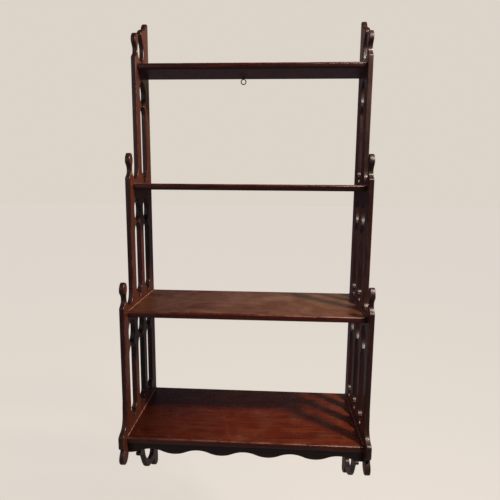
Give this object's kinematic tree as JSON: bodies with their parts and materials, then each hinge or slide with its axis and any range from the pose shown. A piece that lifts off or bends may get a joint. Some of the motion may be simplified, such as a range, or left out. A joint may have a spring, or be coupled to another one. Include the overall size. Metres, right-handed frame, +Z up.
{
  "type": "tiered wall shelf",
  "caption": "Hanging mahogany wall shelf with stepped, fretwork-pierced side boards, carved scroll finials, shelves that deepen toward the bottom and a scalloped apron.",
  "frame": {"origin": "middle of the top shelf's back edge, in the plane that lies against the wall, halfway up the board", "axes": "+X to the right seen from the front, +Y back into the wall, +Z up"},
  "size_m": [0.47, 0.225, 1.0128],
  "materials": {
    "mahogany": "dark reddish-brown mahogany with an old satin polish",
    "pine": "unpolished secondary wood, aged",
    "aged_brass": "darkened brass wire",
    "brad_steel": "dull steel brads"
  },
  "bodies": {
    "root": {"left_side": "mahogany", "right_side": "mahogany", "top_shelf": "mahogany", "upper_shelf": "mahogany", "lower_shelf": "mahogany", "bottom_shelf": "mahogany", "apron": "mahogany", "left_glue_block": "pine", "middle_glue_block": "pine", "right_glue_block": "pine", "screw_eye": "aged_brass", "shelf_brads": "brad_steel"}
  },
  "joints": []
}
